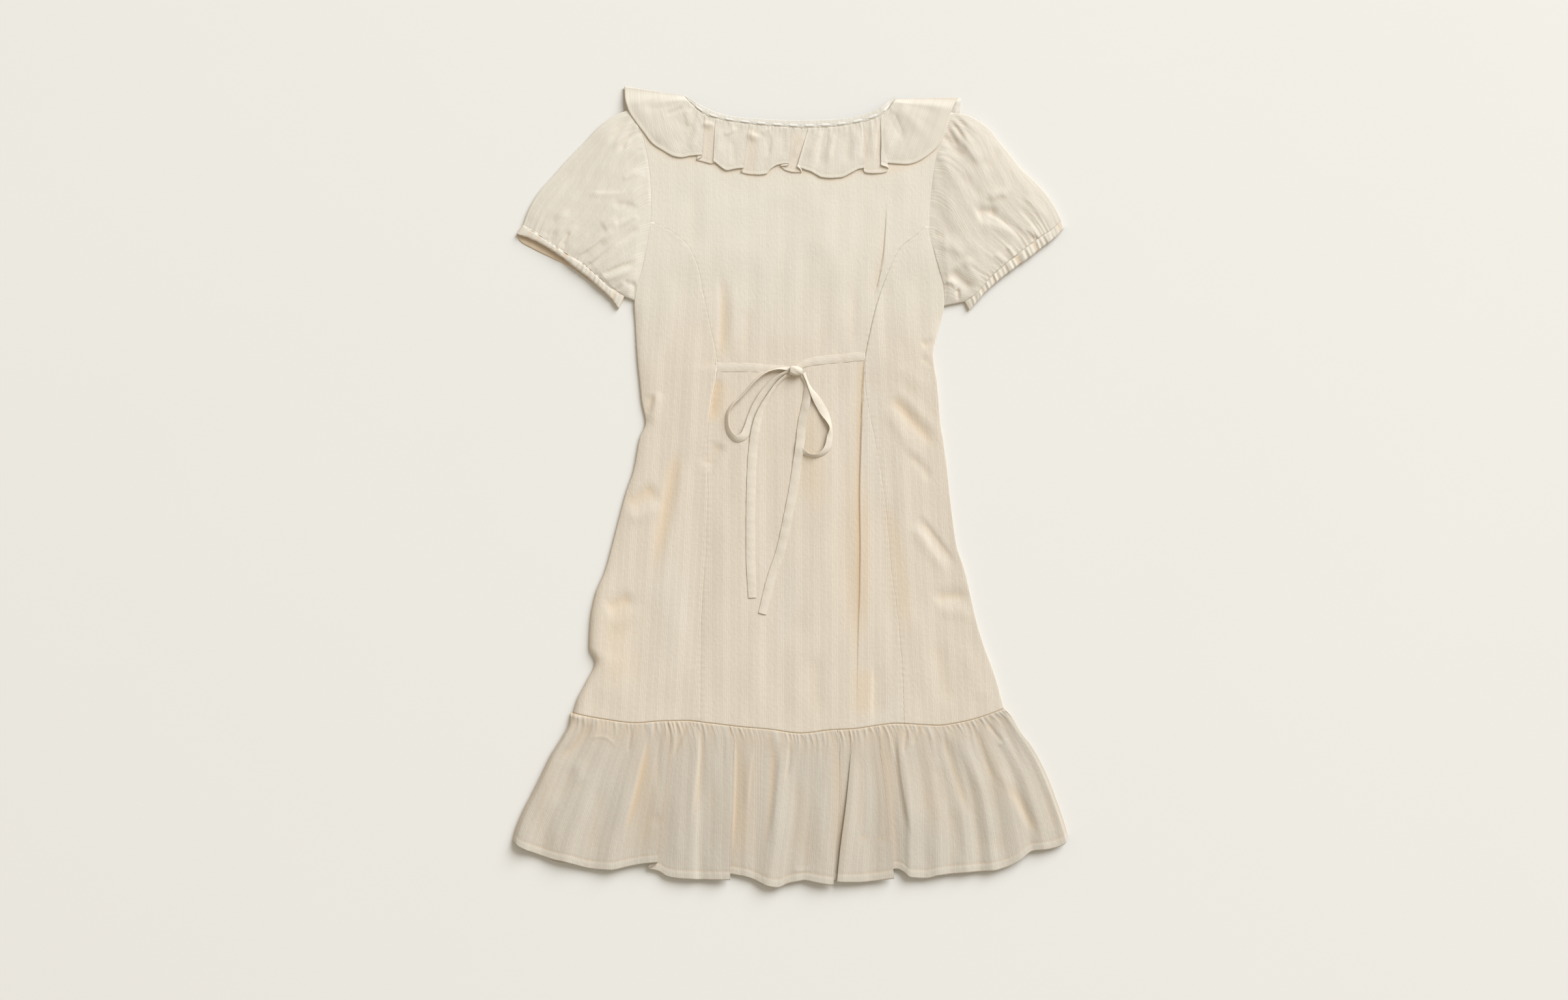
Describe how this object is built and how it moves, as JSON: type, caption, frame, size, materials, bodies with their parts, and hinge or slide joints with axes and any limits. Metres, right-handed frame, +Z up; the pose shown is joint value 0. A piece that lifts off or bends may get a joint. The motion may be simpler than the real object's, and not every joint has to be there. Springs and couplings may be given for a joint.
{
  "type": "mini dress",
  "caption": "Cream striped cotton mini dress with a ruffled collar, puffed short sleeves, a gathered hem ruffle and a bow tied at the back waist, laid flat with its back up.",
  "frame": {"origin": "centre of the bounding box on the surface that the dress lies on", "axes": "+Y from the hem to the neck, +Z up from the surface, +X to the right of the dress seen from above"},
  "size_m": [0.662, 0.9578, 0.017],
  "materials": {
    "striped_cotton": "soft matte cotton with woven vertical stripes",
    "plain_cotton": "soft matte plain cotton",
    "sheer_tape": "sheer tape with a satin ribbon"
  },
  "bodies": {
    "root": {"front_panel": "striped_cotton", "back_centre": "striped_cotton", "back_side_left": "striped_cotton", "back_side_right": "striped_cotton", "sleeve_left": "striped_cotton", "sleeve_right": "striped_cotton", "cuff_left": "striped_cotton", "cuff_right": "striped_cotton", "collar_back": "striped_cotton", "collar_front": "striped_cotton", "hem_ruffle_back": "striped_cotton", "hem_ruffle_front": "striped_cotton", "tie_strap_left": "plain_cotton", "tie_strap_right": "plain_cotton", "bow_knot": "plain_cotton", "bow_loop_left": "plain_cotton", "bow_loop_right": "plain_cotton", "tie_tail_left": "plain_cotton", "tie_tail_right": "plain_cotton", "neck_trim_back": "sheer_tape", "neck_trim_front": "sheer_tape"}
  },
  "joints": []
}
